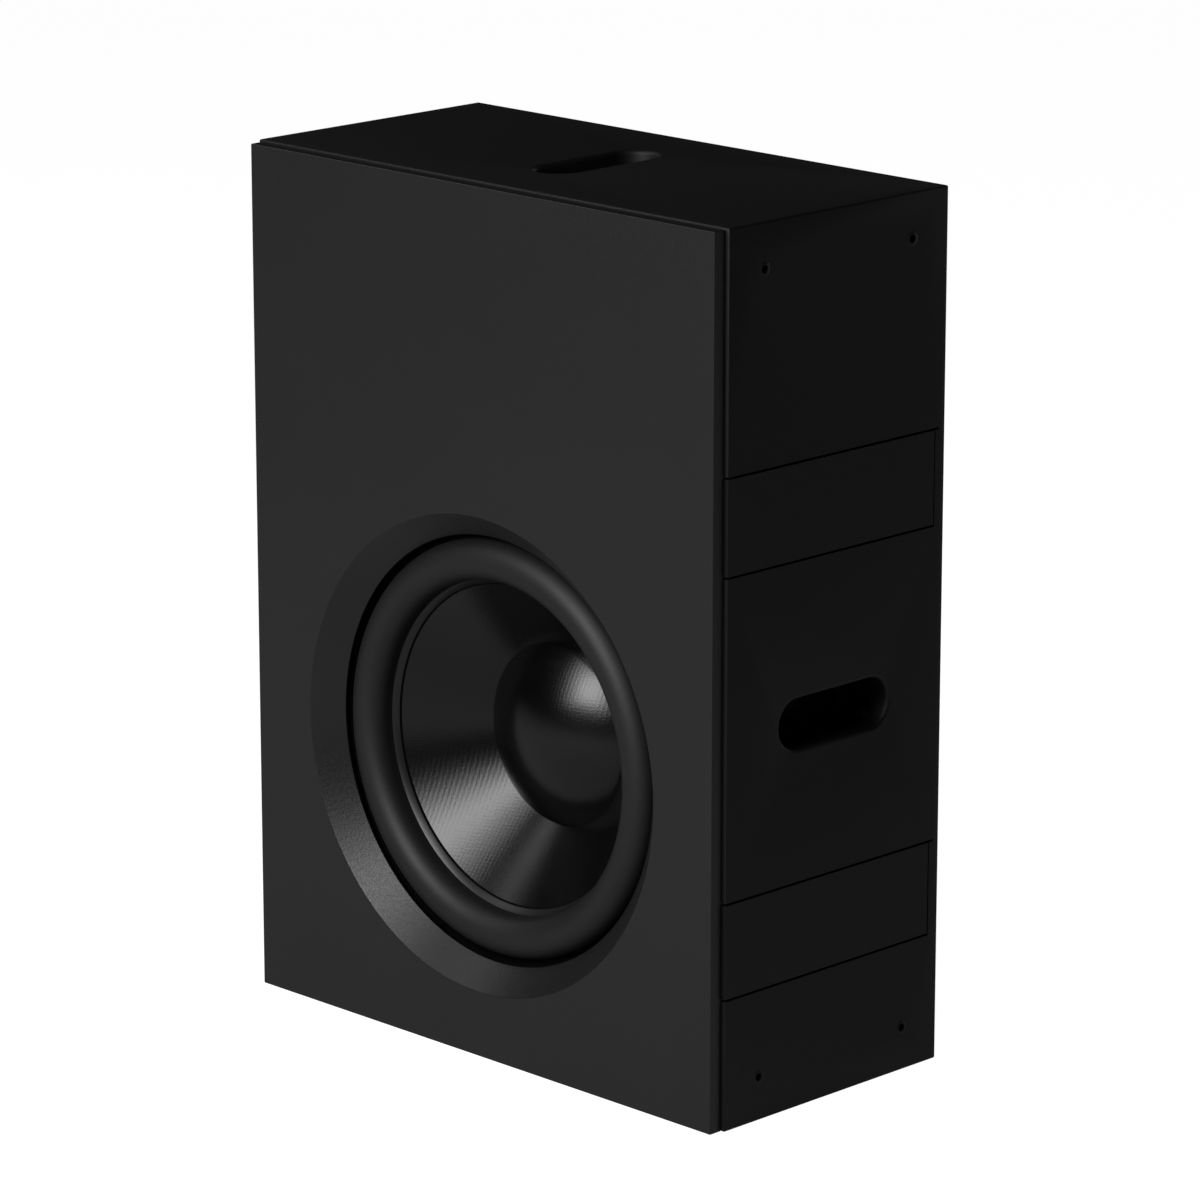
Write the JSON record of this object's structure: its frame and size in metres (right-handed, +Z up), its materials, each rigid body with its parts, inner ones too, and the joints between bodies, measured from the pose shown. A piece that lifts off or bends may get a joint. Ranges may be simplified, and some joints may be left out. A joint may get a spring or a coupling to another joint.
{
  "type": "subwoofer cabinet",
  "caption": "Closed-box bass loudspeaker cabinet with a recessed round driver, hand slots, flush side strips and threaded side holes.",
  "frame": {"origin": "centre of the footprint, on the surface that the cabinet stands on", "axes": "+Z up, +Y towards the rear, +X to the right seen from the front"},
  "size_m": [0.54, 0.2644, 0.733],
  "materials": {
    "painted_board": "matt black textured paint on board",
    "painted_front": "smooth satin black lacquer on board",
    "plywood": "raw birch plywood",
    "moulded_plastic": "black moulded plastic",
    "zinc_steel": "zinc plated",
    "blackened_steel": "black zinc",
    "felt": "grey wool felt",
    "lead_sheath": "black cable sheath",
    "cast_frame": "black powder coat",
    "rubber": "satin butyl rubber",
    "ferrite": "ground ferrite",
    "spider_cloth": "resin-dipped cotton",
    "woven_cone": "black woven fibre with a satin resin",
    "coil_former": "thin sheet",
    "copper_wire": "enamelled copper wire"
  },
  "bodies": {
    "cabinet": {"side_panel_right": "painted_board", "side_panel_left": "painted_board", "top_panel": "painted_board", "bottom_panel": "painted_board", "rear_panel": "painted_board", "front_plate": "painted_front", "infill_strip_right_lower": "painted_board", "infill_strip_right_upper": "painted_board", "infill_strip_left_lower": "painted_board", "infill_strip_left_upper": "painted_board", "sub_baffle": "plywood", "brace_lower": "plywood", "brace_upper": "plywood", "handle_cup_right": "moulded_plastic", "handle_cup_left": "moulded_plastic", "handle_cup_top": "moulded_plastic", "stud_sockets": "moulded_plastic", "connector_socket_lower": "moulded_plastic", "connector_socket_upper": "moulded_plastic", "terminal_board": "moulded_plastic", "side_inserts_right": "zinc_steel", "side_inserts_left": "zinc_steel", "plate_studs": "zinc_steel", "cup_screws_right": "zinc_steel", "cup_screws_left": "zinc_steel", "cup_screws_top": "zinc_steel", "driver_nuts": "zinc_steel", "driver_screws": "blackened_steel", "connector_screws": "blackened_steel", "connector_plate": "blackened_steel", "top_plate": "blackened_steel", "yoke": "blackened_steel", "damping_felt_right": "felt", "damping_felt_left": "felt", "damping_felt_rear": "felt", "driver_lead": "lead_sheath", "link_lead": "lead_sheath", "driver_frame": "cast_frame", "frame_gasket": "rubber", "frame_seal": "rubber", "surround": "rubber", "magnet": "ferrite", "spider": "spider_cloth"},
    "cone_assembly": {"cone": "woven_cone", "dust_cap": "woven_cone", "coil_former": "coil_former", "coil_winding": "copper_wire"}
  },
  "joints": [
    {"name": "cone_travel", "type": "slide", "parent": "cabinet", "child": "cone_assembly", "axis": [0, -1, 0], "range_m": [-0.01, 0.01], "stiffness_N_per_m": 6000, "deforming": ["surround", "spider"]}
  ]
}
